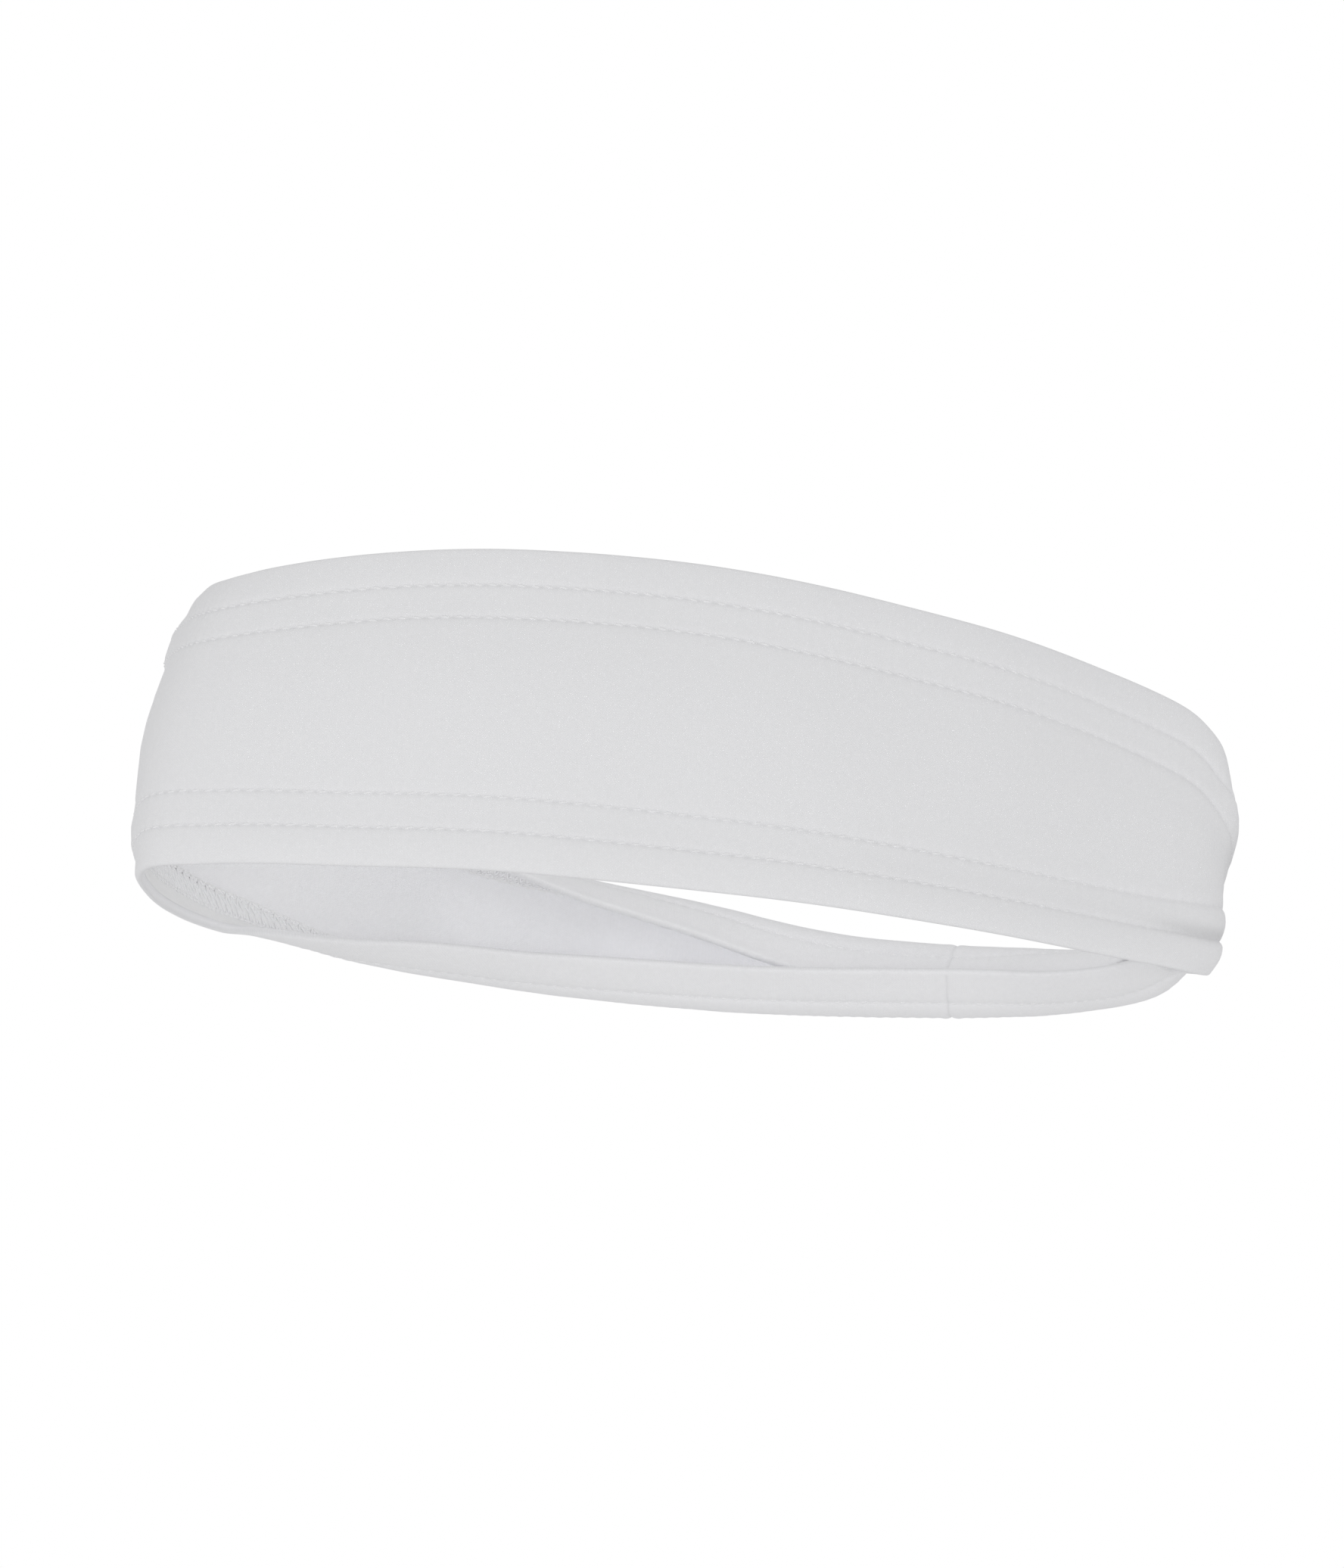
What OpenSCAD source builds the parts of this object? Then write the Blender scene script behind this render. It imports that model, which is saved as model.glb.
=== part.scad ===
// Pull-on sports headband in fine stretch knit.
// One strip of knit is closed into a loop by a seam at the centre back.
// Its top and bottom margins are turned to the inside, and each is held by a
// two-needle coverstitch: two needle threads on the face, one looper thread
// inside over the raw edge. The band stands relaxed on its lower rim, front
// towards -Y. At the back it is narrower and both hems curl to the inside.

/* [Loop] */
// Width of the loop at mid height, left to right
loop_w = 198; // [176:1:220]
// Depth of the loop at mid height, front to back
loop_d = 127; // [113:1:141]

/* [Knit band] */
// Height of the finished band at the front
front_h = 61; // [52:1:70]
// Height of the finished band at the centre back, uncurled
back_h = 42; // [40:1:60]
// Thickness of one layer of knit
knit_t = 0.9; // [0.6:0.1:1.2]
// Lean of the front wall towards the head at its top, in degrees
front_lean = 6; // [0:1:10]

/* [Back curl] */
// Angle through which the lower hem curls inwards at the back
lower_curl = 115; // [0:5:120]
// Angle through which the upper hem curls inwards at the back
upper_curl = 125; // [0:5:130]
// Height by which the lower rim lifts at the tight right bend
rim_lift = 3; // [0:0.5:4]

/* [Hems] */
// Distance from the folded edge to the outer needle row
edge_to_row = 7.3; // [6:0.1:8]
// Needle gauge of the coverstitch: distance between its two rows
gauge = 6.4; // [4.8:0.1:6.4]
// Length of the turn-under past the inner needle row
raw_edge = 0.7; // [0.5:0.1:1.5]

/* [Thread] */
// Diameter of the sewing thread
thread_d = 0.4; // [0.3:0.05:0.5]
// Thickness of the looper thread's chain
looper_t = 0.5; // [0.3:0.1:0.7]

/* [Back seam] */
// Width of each seam allowance
allowance_w = 6; // [4:0.5:8]
// Gap between the two allowances, which the seam thread fills
seam_gap = 0.8; // [0.8:0.1:1.2]

/* [Hidden] */

// Length of the turned-under margin
hem_len = edge_to_row + gauge + raw_edge;

// Stations round the loop, from the back seam past the left bend, the front
// and the right bend. Each row: plan x and y of the wall, share of the
// front's extra height, share of the lower curl, share of the upper curl,
// share of the front lean, share of the rim lift.
ST = [
    [ 55,  47, 0.05, 1.00, 1.00, 0.0, 0.0],
    [  8,  59, 0.35, 1.00, 1.00, 0.0, 0.0],
    [-34,  52, 0.40, 1.00, 0.90, 0.0, 0.0],
    [-67,  35, 0.60, 0.85, 0.75, 0.2, 0.0],
    [-90,  18, 0.85, 0.50, 0.45, 0.5, 0.0],
    [-99, -12, 0.90, 0.25, 0.22, 1.0, 0.0],
    [-93, -47, 0.80, 0.08, 0.15, 1.2, 0.0],
    [-68, -61, 0.90, 0.03, 0.10, 1.0, 0.0],
    [-20, -68, 1.00, 0.02, 0.08, 1.0, 0.0],
    [ 23, -58, 0.95, 0.02, 0.08, 1.0, 0.0],
    [ 60, -38, 0.80, 0.02, 0.08, 1.0, 0.0],
    [ 86, -19, 0.50, 0.04, 0.06, 0.7, 0.2],
    [ 97,  -8, 0.20, 0.20, 0.12, 0.5, 0.6],
    [ 96,   6, 0.05, 0.75, 0.50, 0.3, 1.0],
    [ 88,  20, 0.00, 0.95, 0.90, 0.0, 0.4],
    [ 75,  34, 0.00, 1.00, 1.00, 0.0, 0.0]];
NS = len(ST);
// Rings between two stations, and rings in all
SUB = 6;
RINGS = NS * SUB;
SX = loop_w / 198;
SY = loop_d / 127;

function row(i) = ST[(i % NS + NS) % NS];
// Closed Catmull-Rom curve through the stations; q counts stations
function at(q) = let (i = floor(q), t = q - i,
        a = row(i - 1), b = row(i), c = row(i + 1), d = row(i + 2))
    0.5 * (2 * b + (c - a) * t + (2 * a - 5 * b + 4 * c - d) * t * t
        + (3 * b - a - 3 * c + d) * t * t * t);
function clip(v, lo, hi) = min(max(v, lo), hi);
function ease(v) = let (w = clip(v, 0, 1)) w * w * (3 - 2 * w);

// Cross-section of the wall. t runs up the cloth from the lower fold; psi is
// the slope of the cloth from vertical, positive where it leans inwards.
function cloth_h(q) = back_h + (front_h - back_h) * clip(at(q)[2], 0, 1);
function psi(q, t) = let (r = at(q), h = cloth_h(q), lo = lower_curl * clip(r[3], 0, 1),
        hi = upper_curl * clip(r[4], 0, 1))
    front_lean * r[5] - lo * ease((0.52 * h - t) / (0.40 * h))
        + hi * ease((t - 0.48 * h) / (0.40 * h));
// Steps of the integration up the cloth
STEPS = 44;
function march(q) = let (h = cloth_h(q), d = h / STEPS)
    [for (i = 0, u = 0, z = 0; i <= STEPS; u = u + d * sin(psi(q, (i + 0.5) * d)),
        z = z + d * cos(psi(q, (i + 0.5) * d)), i = i + 1) [u, z]];
// Mid-height of the wall lies on the plan curve; the lowest point is on the rim
function path(q) = let (m = march(q), u0 = m[STEPS / 2][0], z0 = min([for (p = m) p[1]]))
    [for (p = m) [p[0] - u0, p[1] - z0 + rim_lift * clip(at(q)[6], 0, 1)]];
// Point at cloth length t and depth o behind the face; the rim rests flat
function lay(pth, q, t, o) = let (h = cloth_h(q), f = clip(t / h, 0, 1) * STEPS,
        i = min(floor(f), STEPS - 1), w = f - i,
        p = pth[i] * (1 - w) + pth[i + 1] * w, a = psi(q, t))
    [p[0] + o * cos(a), max(p[1] - o * sin(a), 0)];

// Plan position and inward direction
function plan(q) = let (r = at(q)) [r[0] * SX, r[1] * SY];
function inward(q) = let (d = plan(q + 0.01) - plan(q - 0.01), n = norm(d)) [-d[1] / n, d[0] / n];
function place(q, uz) = let (p = plan(q), n = inward(q))
    [p[0] + n[0] * uz[0] - X0, p[1] + n[1] * uz[0] - Y0, uz[1]];

// Box of the face, which sets the origin under its middle
FACE = [for (k = [0 : RINGS - 1]) let (q = k / SUB, p = plan(q), n = inward(q), pth = path(q))
    for (j = [0 : 4 : STEPS]) p + n * pth[j][0]];
X0 = (min([for (p = FACE) p[0]]) + max([for (p = FACE) p[0]])) / 2;
Y0 = (min([for (p = FACE) p[1]]) + max([for (p = FACE) p[1]])) / 2;

// Outline of one layer between cloth lengths t0 and t1 and depths o0 and o1
function layer(q, t0, t1, o0, o1, n) = let (pth = path(q)) concat(
    [for (j = [0 : n]) place(q, lay(pth, q, t0 + (t1 - t0) * j / n, o0))],
    [for (j = [n : -1 : 0]) place(q, lay(pth, q, t0 + (t1 - t0) * j / n, o1))]);
// Round thread lying at cloth length t, its centre at depth o
function strand(q, t, o, n) = let (pth = path(q))
    [for (j = [0 : n - 1]) let (a = -360 * j / n)
        place(q, lay(pth, q, t + thread_d / 2 * sin(a), o - thread_d / 2 * cos(a)))];

// Sweep of equal outlines, closed into a ring or capped at both ends
module skin(sections, ring) {
    m = len(sections);
    n = len(sections[0]);
    last = ring ? m - 1 : m - 2;
    pts = [for (s = sections) for (p = s) p];
    sides = [for (k = [0 : last]) for (j = [0 : n - 1])
        let (a = k * n + j, b = k * n + (j + 1) % n,
            c = ((k + 1) % m) * n + (j + 1) % n, d = ((k + 1) % m) * n + j)
        each [[a, b, c], [a, c, d]]];
    caps = ring ? [] : [for (e = [0, m - 1]) for (j = [0 : n / 2 - 2])
        let (a = e * n + j, b = a + 1, c = e * n + n - 2 - j, d = c + 1)
        each (e == 0 ? [[a, d, c], [a, c, b]] : [[a, b, c], [a, c, d]])];
    polyhedron(points = pts, faces = concat(sides, caps), convexity = 8);
}

// Whole ring of one layer; top = true measures t down from the upper fold
module layer_ring(t0, t1, o0, o1, n, top = false)
    skin([for (k = [0 : RINGS - 1]) let (q = k / SUB, h = cloth_h(q))
        top ? layer(q, h - t1, h - t0, o0, o1, n) : layer(q, t0, t1, o0, o1, n)], true);
module thread_ring(t, top = false)
    skin([for (k = [0 : RINGS - 1]) let (q = k / SUB)
        strand(q, top ? cloth_h(q) - t : t, -thread_d * 0.42, 4)], true);

module face_panel()
    color("gainsboro") skin([for (k = [0 : RINGS - 1]) let (q = k / SUB)
        layer(q, 0, cloth_h(q), 0, knit_t, 20)], true);
module top_hem_turn_under()
    color("whitesmoke") layer_ring(0, hem_len, knit_t, 2 * knit_t, 7, true);
module bottom_hem_turn_under()
    color("whitesmoke") layer_ring(0, hem_len, knit_t, 2 * knit_t, 7);
module top_hem_upper_needle_thread()
    color("white") thread_ring(edge_to_row, true);
module top_hem_lower_needle_thread()
    color("white") thread_ring(edge_to_row + gauge, true);
module top_hem_looper_thread()
    color("white") layer_ring(edge_to_row - 0.2, edge_to_row + gauge + 0.2,
        2 * knit_t, 2 * knit_t + looper_t, 2, true);
module bottom_hem_upper_needle_thread()
    color("white") thread_ring(edge_to_row + gauge);
module bottom_hem_lower_needle_thread()
    color("white") thread_ring(edge_to_row);
module bottom_hem_looper_thread()
    color("white") layer_ring(edge_to_row - 0.2, edge_to_row + gauge + 0.2,
        2 * knit_t, 2 * knit_t + looper_t, 2);

// Station steps per millimetre at the seam
QMM = 1 / norm(plan(0.02) - plan(-0.02)) * 0.04;
// The allowances lie flat on the inside between the two raw edges
module allowance(side)
    skin([for (k = side > 0 ? [0 : 4] : [4 : -1 : 0])
        let (q = side * (seam_gap / 2 + allowance_w * k / 4) * QMM, h = cloth_h(q))
        layer(q, hem_len + 0.3, h - hem_len - 0.3, knit_t, 2 * knit_t, 6)], false);
module seam_allowance_left()
    color("whitesmoke") allowance(1);
module seam_allowance_right()
    color("whitesmoke") allowance(-1);
module back_seam_thread()
    color("white") skin([for (k = [0 : 1]) let (q = (k - 0.5) * (seam_gap - 0.2) * QMM, h = cloth_h(q))
        layer(q, hem_len + 0.6, h - hem_len - 0.6, knit_t, knit_t + 0.5, 6)], false);

face_panel();
top_hem_turn_under();
bottom_hem_turn_under();
top_hem_upper_needle_thread();
top_hem_lower_needle_thread();
top_hem_looper_thread();
bottom_hem_upper_needle_thread();
bottom_hem_lower_needle_thread();
bottom_hem_looper_thread();
seam_allowance_left();
seam_allowance_right();
back_seam_thread();
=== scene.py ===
import math
import bpy
import numpy as np
from mathutils import Matrix, Vector


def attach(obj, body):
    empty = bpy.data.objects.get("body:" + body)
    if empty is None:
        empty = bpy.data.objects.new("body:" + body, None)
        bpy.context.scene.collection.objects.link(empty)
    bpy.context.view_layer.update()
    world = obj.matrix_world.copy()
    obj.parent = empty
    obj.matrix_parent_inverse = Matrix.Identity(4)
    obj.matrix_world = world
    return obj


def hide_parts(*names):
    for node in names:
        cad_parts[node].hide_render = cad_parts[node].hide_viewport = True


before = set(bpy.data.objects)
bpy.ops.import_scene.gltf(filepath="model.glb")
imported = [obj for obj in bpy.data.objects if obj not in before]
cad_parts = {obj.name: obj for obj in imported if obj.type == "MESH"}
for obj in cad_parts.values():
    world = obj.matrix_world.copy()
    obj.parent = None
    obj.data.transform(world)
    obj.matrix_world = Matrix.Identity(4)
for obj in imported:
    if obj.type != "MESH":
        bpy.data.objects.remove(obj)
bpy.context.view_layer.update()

scene = bpy.context.scene
MM = 0.001

# ---------------------------------------------------------------------------
# 1. The relaxed shape of the band, in millimetres.
# One row per station round the loop, from the back seam past the left bend,
# the front and the right bend: plan x, plan y, cloth height, rim lift, and
# the cloth's slope from vertical in degrees at nine places from the lower
# fold to the upper one (positive leans inwards).
# ---------------------------------------------------------------------------
SHAPE = [
    (55.7, 47.2, 43.2, 0.1, [-126, -139, -129, -67, -13, 52, 155, 158, 127]),
    (31.4, 55.4, 45.8, 0.0, [-123, -137, -130, -65, -8, 58, 159, 156, 122]),
    (7.1, 59.3, 48.7, 0.0, [-124, -138, -128, -58, -3, 52, 138, 149, 121]),
    (-16.1, 57.0, 49.3, 0.1, [-127, -137, -121, -51, -2, 40, 112, 141, 124]),
    (-33.8, 52.2, 49.1, 0.1, [-130, -134, -110, -43, -2, 28, 89, 132, 128]),
    (-51.5, 43.3, 50.9, 0.0, [-131, -128, -98, -35, -4, 17, 73, 124, 130]),
    (-67.5, 34.5, 53.4, 0.3, [-118, -106, -72, -25, -4, 9, 48, 101, 117]),
    (-80.3, 26.6, 56.1, 0.9, [-99, -79, -50, -20, -4, 5, 30, 81, 102]),
    (-90.5, 18.5, 57.9, 0.1, [-71, -53, -41, -14, -1, 5, 19, 55, 76]),
    (-96.8, 4.4, 58.8, 0.0, [-50, -36, -31, -9, 4, 8, 16, 37, 54]),
    (-99.3, -11.5, 58.8, 0.1, [-36, -25, -19, -4, 6, 13, 18, 28, 35]),
    (-98.7, -28.9, 57.7, 0.0, [-25, -14, -6, -1, 9, 17, 18, 27, 31]),
    (-95.2, -44.9, 56.4, 0.3, [-15, -2, 7, 0, 11, 20, 16, 26, 27]),
    (-87.0, -53.7, 57.1, 0.0, [-14, 0, 10, -2, 9, 21, 14, 24, 26]),
    (-75.1, -59.2, 58.4, 0.0, [-12, 3, 14, -3, 7, 21, 10, 18, 22]),
    (-58.1, -63.9, 60.2, 0.0, [-10, 3, 14, -5, 5, 21, 7, 14, 18]),
    (-38.8, -68.2, 61.1, 0.1, [-10, 3, 13, -5, 5, 21, 7, 11, 17]),
    (-18.2, -68.3, 61.5, 0.0, [-10, 3, 13, -6, 4, 21, 6, 10, 16]),
    (2.1, -64.1, 61.4, 0.1, [-9, 5, 14, -5, 4, 19, 4, 10, 16]),
    (22.5, -58.2, 60.2, 0.1, [-9, 9, 19, -3, 4, 16, 1, 10, 17]),
    (42.9, -48.6, 58.8, 0.0, [-8, 13, 26, 0, 3, 14, -1, 10, 17]),
    (59.6, -38.4, 57.7, 0.0, [-9, 15, 30, 3, 3, 14, -1, 10, 18]),
    (75.0, -27.3, 55.5, 0.1, [-10, 14, 30, 4, 4, 15, 0, 10, 17]),
    (87.1, -18.8, 52.3, 0.4, [-12, 10, 26, 4, 5, 15, -2, 8, 16]),
    (94.4, -12.3, 48.4, 1.0, [-21, -5, 13, 4, 6, 12, -5, 6, 15]),
    (97.7, -6.4, 43.5, 2.1, [-30, -18, 1, 3, 4, 5, -9, 6, 15]),
    (98.6, -0.1, 41.1, 3.3, [-78, -67, -32, -5, -4, -7, 7, 32, 49]),
    (96.1, 6.4, 37.1, 3.8, [-110, -103, -66, -20, -9, -1, 35, 74, 90]),
    (91.1, 14.9, 34.0, 1.5, [-126, -125, -99, -42, -14, 10, 74, 132, 138]),
    (82.1, 26.3, 35.4, 0.5, [-127, -131, -110, -51, -14, 23, 96, 143, 137]),
    (71.0, 38.3, 40.1, 0.2, [-127, -137, -122, -61, -14, 38, 125, 153, 132]),
]
ROW1, ROW2 = 7.3, 13.65          # needle rows, from the folded edge
RAW = 14.5                       # raw edge of the turn-under
K = 0.78                         # one layer of knit
STITCH = 2.72                    # stitch length
N = len(SHAPE)

tab = np.array([[s[0], s[1], s[2], s[3]] + [math.radians(a) for a in s[4]] for s in SHAPE])


def closed_spline(v):
    """Second derivatives of the closed cubic spline through v (uniform knots)."""
    n = len(v)
    a = np.zeros((n, n))
    for i in range(n):
        a[i, i] = 4
        a[i, (i - 1) % n] += 1
        a[i, (i + 1) % n] += 1
    return np.linalg.solve(a, 6 * (np.roll(v, -1, 0) - 2 * v + np.roll(v, 1, 0)))


TAB2 = closed_spline(tab)


def at(q):
    q = np.mod(q, N)
    i = np.floor(q).astype(int) % N
    t = (q - np.floor(q))[:, None]
    j = (i + 1) % N
    return (tab[i] * (1 - t) + tab[j] * t
            + ((1 - t) ** 3 - (1 - t)) * TAB2[i] / 6 + (t ** 3 - t) * TAB2[j] / 6)


def at_d(q):
    e = 1e-3
    return (at(q + e) - at(q - e)) / (2 * e)


# arc length of the mid line
_q = np.linspace(0, N, 6001)
_p = at(_q)[:, :2]
_s = np.concatenate([[0], np.cumsum(np.linalg.norm(np.diff(_p, axis=0), axis=1))])
LOOP = float(_s[-1])
STITCHES = int(round(LOOP / STITCH))
PITCH = LOOP / STITCHES


def q_of(s):
    return np.interp(np.mod(s, LOOP), _s, _q)


# fine grid up the cloth: hem, field, hem
NH, NF = 50, 80
NT = 2 * NH + NF
KNOT_FR = np.concatenate([np.linspace(0, ROW2, NH + 1)[:-1], np.zeros(NF + 1), np.linspace(0, ROW2, NH + 1)[1:]])


class Wall:
    """The cloth's face, column by column, at arc positions s (mm from the back seam)."""

    def __init__(self, s):
        s = np.asarray(s, float)
        self.s = s
        q = q_of(s)
        r = at(q)
        d = at_d(q)[:, :2]
        d /= np.linalg.norm(d, axis=1)[:, None]
        self.plan = r[:, :2]
        self.inw = np.stack([-d[:, 1], d[:, 0]], 1)
        self.along = d
        self.h = r[:, 2]
        lift = np.maximum(r[:, 3], 0)
        psi_k = r[:, 4:]
        m = len(s)
        hf = self.h - 2 * ROW2
        grid = np.concatenate([
            np.tile(np.linspace(0, ROW2, NH + 1)[:-1], (m, 1)),
            ROW2 + hf[:, None] * np.linspace(0, 1, NF + 1)[None, :],
            (self.h - ROW2)[:, None] + np.tile(np.linspace(0, ROW2, NH + 1)[1:], (m, 1))], 1)
        # knots are at fixed places in the hems and at the middle of the field
        unit = np.concatenate([np.linspace(0, ROW2, NH + 1)[:-1],
                               ROW2 + 33 * np.linspace(0, 1, NF + 1),
                               ROW2 + 33 + np.linspace(0, ROW2, NH + 1)[1:]])
        hu = 2 * ROW2 + 33
        ku = np.array([0, 4, 8.3, ROW2, hu / 2, hu - ROW2, hu - 8.3, hu - 4, hu])
        w = np.stack([np.interp(unit, ku, np.eye(9)[j]) for j in range(9)], 0)
        # soften the corners of the slope's course
        x = np.arange(-12, 13)
        g = np.exp(-(x / 4.5) ** 2 / 2)
        g /= g.sum()
        wp = np.concatenate([np.repeat(w[:, :1], 12, 1), w, np.repeat(w[:, -1:], 12, 1)], 1)
        w = np.stack([np.convolve(wp[j], g, mode="valid") for j in range(9)], 0)
        psi = psi_k @ w
        dt = np.diff(grid, axis=1)
        am = 0.5 * (psi[:, 1:] + psi[:, :-1])
        u = np.concatenate([np.zeros((m, 1)), np.cumsum(np.sin(am) * dt, 1)], 1)
        z = np.concatenate([np.zeros((m, 1)), np.cumsum(np.cos(am) * dt, 1)], 1)
        mid = NT // 2
        self.u = u - u[:, mid:mid + 1]
        self.z = z - z.min(1, keepdims=True) + lift[:, None]
        self.psi = psi
        self.hf = hf

    def tau(self, t):
        """Fine-grid index of cloth length t (m x r)."""
        h, hf = self.h[:, None], self.hf[:, None]
        return np.clip(np.where(t < ROW2, t / ROW2 * NH,
                       np.where(t > h - ROW2, NT - (h - t) / ROW2 * NH,
                                NH + NF * (t - ROW2) / hf)), 0, NT)

    def at(self, t, o):
        """Points at cloth length t and depth o behind the face, both m x r."""
        f = self.tau(t)
        i = np.minimum(f.astype(int), NT - 1)
        w = f - i
        k = np.arange(len(self.s))[:, None]
        u = self.u[k, i] * (1 - w) + self.u[k, i + 1] * w
        z = self.z[k, i] * (1 - w) + self.z[k, i + 1] * w
        a = self.psi[k, i] * (1 - w) + self.psi[k, i + 1] * w
        u = u + o * np.cos(a)
        z = z - o * np.sin(a)
        # the cloth at the back is drawn a little along the band, more at the top
        far = np.minimum(np.mod(self.s, LOOP), LOOP - np.mod(self.s, LOOP))[:, None]
        h = self.h[:, None]
        pull = np.where(t < 14, 2.0 * np.clip(t / 11, 0, 1), 2.0 + 0.7 * np.clip((t - 14) / (h - 14), 0, 1)) * bump(far, 34.0)
        p = np.empty(u.shape + (3,))
        p[..., 0] = self.plan[:, 0][:, None] + self.inw[:, 0][:, None] * u + self.along[:, 0][:, None] * pull
        p[..., 1] = self.plan[:, 1][:, None] + self.inw[:, 1][:, None] * u + self.along[:, 1][:, None] * pull
        p[..., 2] = z
        return p


def bump(x, w):
    return np.exp(-(x / w) ** 2)


def seam_dist(s):
    s = np.mod(s, LOOP)
    return np.minimum(s, LOOP - s)


rng = np.random.default_rng(7)
_ph = rng.uniform(0, 2 * np.pi, (9, 2))


def drift(s, t):
    """Slow, small unevenness of the cloth, in mm."""
    v = 0
    for k, (n, m, a) in enumerate(((5, 0.05, .10), (9, 0.11, .08), (14, -0.07, .06), (23, 0.16, .035),
                                   (31, -0.21, .03), (47, 0.3, .018), (61, -0.42, .014))):
        v = v + a * np.sin(2 * np.pi * n * s / LOOP + m * t + _ph[k, 0])
    return v


def slot_shift(x):
    """Slant of a stitch: offset across the row over one stitch, x from 0 to 1."""
    return 0.42 * (x - 0.5)


GROOVE = 0.12
# Bulges and hollows where the band turns away from the front, as pairs of cloth
# length and outward shift in mm; negative lengths are counted from the upper fold.
RIGHT_TURN = ((0, -0.6), (1.5, -0.4), (3, -0.1), (6, 0.2), (9, 0.2), (12, 0), (15, -0.4), (19, -0.45), (23, -0.5),
              (25.5, -0.2), (27, 0.15), (29, 0.4), (31, 0.7), (34, 0.7), (35.4, 0.4), (36.5, -0.2), (39, -0.35), (44, -0.35))
LEFT_TURN = ((0, 0.3), (1.4, 0.35), (2.6, 0.0), (4.4, -0.4), (5.6, -0.35), (6.6, 0.2), (8, 0.35), (10, 0.2), (13.2, 0.25),
             (14.8, -0.05), (16.4, -0.3), (18, 0.0), (22, 0.1), (25, 0.25), (28, 0.5), (33, 0.5), (37, 0.2))
LEFT_TURN_TOP = ((0, 0.5), (1.4, 0.5), (2.8, 0.25), (4.8, -0.25), (5.5, -0.1), (6.2, 0.5), (7.6, 0.95), (9.5, 0.6), (12.5, 0.5),
                 (13.8, 0.5), (14.8, -0.15), (15.8, -0.35), (16.8, -0.1), (18, 0), (20, 0.15))
LEFT_AT, RIGHT_AT = 200.0, 444.5


def turns(s, t, h):
    """Local shape of the two ends, where the hems are gathered."""
    s = np.mod(s, LOOP)
    rx, ry = zip(*RIGHT_TURN)
    lx, ly = zip(*LEFT_TURN)
    ux, uy = zip(*LEFT_TURN_TOP)
    right_c = np.interp(t, (0, 4, 8, 14, 20, 30, 36, 42), (439.5, 440.5, 442, 444.2, 445.6, 447, 446.5, 444))
    r = np.interp(t, rx, ry) * bump(s - right_c, 8.0)
    low = np.interp(t, lx, ly)
    high = np.interp(h - t, ux, uy)
    left_c = np.interp(t, (0, 8, 14, 25, 45, 58), (214, 206, 200, 197, 194, 190.5))
    r = r + np.where(t < h - 20, low, high) * bump(s - left_c, 9.0)
    # a pinch in the lower hem, just before the right-hand turn
    x = s - 432.0
    fade = 1 / (1 + np.exp(-(x + 1.0) / 2.6)) * (1 / (1 + np.exp((x - 11.5) / 1.6)))
    r = r + fade * (-0.8 * bump(t - 7.9, 1.2) + 0.3 * bump(t - 11.4, 1.7) + 0.3 * bump(t - 4.4, 2.0))
    return r


def stitch_place(s):
    """How far along its stitch a point of the rows is, 0 to 1."""
    return np.mod(s / PITCH, 1.0)


def rear(s):
    """1 at the back of the band, where the stitches lie sunk and slack, 0 elsewhere."""
    return 1 / (1 + np.exp((seam_dist(s) - 118.0) / 7.0))


def pinched(s):
    """1 along the last of the front before the right-hand turn, where the hem is pinched."""
    q = np.mod(s, LOOP)
    return 1 / (1 + np.exp(-(q - 424.0) / 3.2)) / (1 + np.exp((q - 446.0) / 1.8))


def relief(s, t, h, fine=True):
    """Outward relief of the face (mm) at arc s and cloth length t."""
    r = 0.45 * drift(s, t)
    groove = GROOVE + 0.22 / (1 + np.exp(-(np.mod(s, LOOP) - 414) / 7)) * (np.mod(s, LOOP) < 470)
    x = stitch_place(s)
    for d in (t, h - t):
        r = r - groove * bump(d - ROW1, 0.7) - groove * bump(d - ROW2, 0.7)
        r = r + 0.20 * np.where((d > ROW1) & (d < ROW2), np.sin(np.pi * (d - ROW1) / (ROW2 - ROW1)) ** 0.8, 0)
        r = r + 0.14 * np.where((d > 0) & (d < ROW1), np.sin(np.pi * np.clip(d / ROW1, 0, 1)), 0)
        r = r + 0.08 * bump(d - ROW2 - 1.9, 1.1)
        if fine:
            for row in (ROW1, ROW2):
                dd = d - row
                edge = np.minimum(x, 1 - x) * PITCH
                r = r - 0.24 * (1 - 0.5 * rear(s)) * bump(edge, 0.62) * bump(dd + 0.04, 0.36)
                r = r - 0.10 * bump(dd - slot_shift(x), 0.32) * np.sin(np.pi * x) ** 0.6
                r = r + 0.05 * np.cos(2 * np.pi * (x - 0.5)) * bump(np.abs(dd) - 1.1, 0.7)
    sd = seam_dist(s)
    r = r - 0.22 * bump(sd, 0.36) + 0.07 * bump(sd - 1.4, 0.9)
    return r


def shade(s, t, h):
    """Painted shade, 0 to 1: the face is painted darker in the stitch holes and rows, down the back seam, in the lower
    hem's pinch and at the right-hand turn.
    """
    x = stitch_place(s)
    c = 0.0
    # painted shade in each stitch hole and along each needle row
    for d in (t, h - t):
        for row in (ROW1, ROW2):
            dd = d - row
            edge = np.minimum(x, 1 - x) * PITCH
            c = c + 0.90 * bump(edge, 0.62) * bump(dd, 0.30) + 0.20 * bump(dd, 0.42)
    # less painted shade at the back of the band, and painted shade down the back seam's crease
    c = np.clip(c * (1 - 0.75 * rear(s)) + 0.9 * bump(seam_dist(s), 0.26), 0, 1)
    # painted shade in the pinch in the lower hem, in the hollow under the right-hand bulge and down the right-hand
    # turn
    q = np.mod(s, LOOP)
    c = c + 2.5 * pinched(s) * bump(t - 8.1, 1.35) + 2.0 * bump(q - 449, 4.0) * bump(t - 27, 3.5)
    c = c + 1.1 * bump(q - 447, 3.5) * bump(t - 18, 9.0)
    return c


# ---------------------------------------------------------------------------
# 2. Mesh helpers
# ---------------------------------------------------------------------------
CENTRE = np.zeros(3)


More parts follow.
